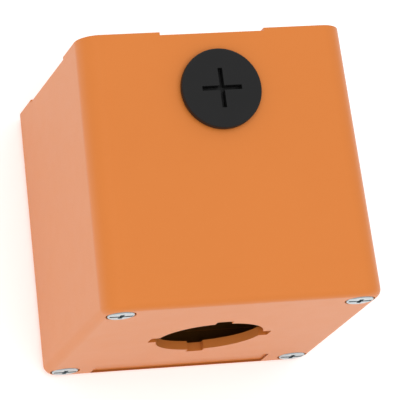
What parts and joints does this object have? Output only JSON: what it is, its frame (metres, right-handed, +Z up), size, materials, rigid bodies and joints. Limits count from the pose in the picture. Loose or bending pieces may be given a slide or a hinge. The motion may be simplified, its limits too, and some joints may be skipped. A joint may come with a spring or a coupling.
{
  "type": "control station enclosure",
  "caption": "Empty die-cast control-station enclosure with a notched pushbutton hole in a screw-on cover, a blanking plug in the top entry and an open entry below.",
  "frame": {"origin": "centre of the wall-mounting plane, at the middle of the four fixing holes", "axes": "+Y into the wall, so the cover faces -Y; +Z up, towards the plugged conduit entry; +X to the right seen from the cover"},
  "size_m": [0.08, 0.078, 0.0826],
  "materials": {
    "body_paint": "satin",
    "cover_paint": "satin",
    "gasket_rubber": "matte",
    "zinc_steel": "bright zinc",
    "nylon": "matte",
    "plug_plastic": "matte",
    "seal_rubber": "matte",
    "earth_steel": "zinc"
  },
  "bodies": {
    "box": {"box_body": "body_paint"},
    "cover": {"cover": "cover_paint", "cover_gasket": "gasket_rubber"},
    "screw_retainer_upper_left": {"screw_retainer_upper_left": "nylon"},
    "cover_screw_upper_left": {"cover_screw_upper_left": "zinc_steel"},
    "screw_retainer_upper_right": {"screw_retainer_upper_right": "nylon"},
    "cover_screw_upper_right": {"cover_screw_upper_right": "zinc_steel"},
    "screw_retainer_lower_left": {"screw_retainer_lower_left": "nylon"},
    "cover_screw_lower_left": {"cover_screw_lower_left": "zinc_steel"},
    "screw_retainer_lower_right": {"screw_retainer_lower_right": "nylon"},
    "cover_screw_lower_right": {"cover_screw_lower_right": "zinc_steel"},
    "entry_plug_seal": {"entry_plug_seal": "seal_rubber"},
    "entry_plug": {"entry_plug": "plug_plastic"},
    "earth_clamp": {"earth_wire_clamp": "earth_steel", "earth_spring_washer": "earth_steel"},
    "earth_screw": {"earth_screw": "earth_steel"}
  },
  "joints": [
    {"name": "cover_lift_off", "type": "slide", "parent": "box", "child": "cover", "axis": [0, -1, 0], "range_m": [0, 0.06]},
    {"name": "cover_screw_travel_upper_left", "type": "slide", "parent": "cover", "child": "screw_retainer_upper_left", "axis": [0, -1, 0], "range_m": [0, 0.0049]},
    {"name": "cover_screw_turn_upper_left", "type": "hinge", "parent": "screw_retainer_upper_left", "child": "cover_screw_upper_left", "pos_m": [-0.0341, -0.0748, 0.0336], "axis": [0, -1, 0], "range_deg": [0, 2520]},
    {"name": "cover_screw_travel_upper_right", "type": "slide", "parent": "cover", "child": "screw_retainer_upper_right", "axis": [0, -1, 0], "range_m": [0, 0.0049]},
    {"name": "cover_screw_turn_upper_right", "type": "hinge", "parent": "screw_retainer_upper_right", "child": "cover_screw_upper_right", "pos_m": [0.0341, -0.0748, 0.0336], "axis": [0, -1, 0], "range_deg": [0, 2520]},
    {"name": "cover_screw_travel_lower_left", "type": "slide", "parent": "cover", "child": "screw_retainer_lower_left", "axis": [0, -1, 0], "range_m": [0, 0.0049]},
    {"name": "cover_screw_turn_lower_left", "type": "hinge", "parent": "screw_retainer_lower_left", "child": "cover_screw_lower_left", "pos_m": [-0.0341, -0.0748, -0.0336], "axis": [0, -1, 0], "range_deg": [0, 2520]},
    {"name": "cover_screw_travel_lower_right", "type": "slide", "parent": "cover", "child": "screw_retainer_lower_right", "axis": [0, -1, 0], "range_m": [0, 0.0049]},
    {"name": "cover_screw_turn_lower_right", "type": "hinge", "parent": "screw_retainer_lower_right", "child": "cover_screw_lower_right", "pos_m": [0.0341, -0.0748, -0.0336], "axis": [0, -1, 0], "range_deg": [0, 2520]},
    {"name": "plug_travel", "type": "slide", "parent": "box", "child": "entry_plug_seal", "axis": [0, 0, 1], "range_m": [0, 0.009]},
    {"name": "plug_turn", "type": "hinge", "parent": "entry_plug_seal", "child": "entry_plug", "pos_m": [0, -0.0175, 0.04], "axis": [0, 0, 1], "range_deg": [0, 2160]},
    {"name": "earth_screw_travel", "type": "slide", "parent": "box", "child": "earth_clamp", "axis": [0, -1, 0], "range_m": [0, 0.0056]},
    {"name": "earth_screw_turn", "type": "hinge", "parent": "earth_clamp", "child": "earth_screw", "pos_m": [-0.022, -0.0099, 0], "axis": [0, -1, 0], "range_deg": [0, 2880]}
  ],
  "couplings": [
    {"joint": "cover_screw_turn_upper_left", "follows": "cover_screw_travel_upper_left", "rad_per_m": 8976},
    {"joint": "cover_screw_turn_upper_right", "follows": "cover_screw_travel_upper_right", "rad_per_m": 8976},
    {"joint": "cover_screw_turn_lower_left", "follows": "cover_screw_travel_lower_left", "rad_per_m": 8976},
    {"joint": "cover_screw_turn_lower_right", "follows": "cover_screw_travel_lower_right", "rad_per_m": 8976},
    {"joint": "plug_turn", "follows": "plug_travel", "rad_per_m": 4188.8},
    {"joint": "earth_screw_turn", "follows": "earth_screw_travel", "rad_per_m": 8976}
  ]
}
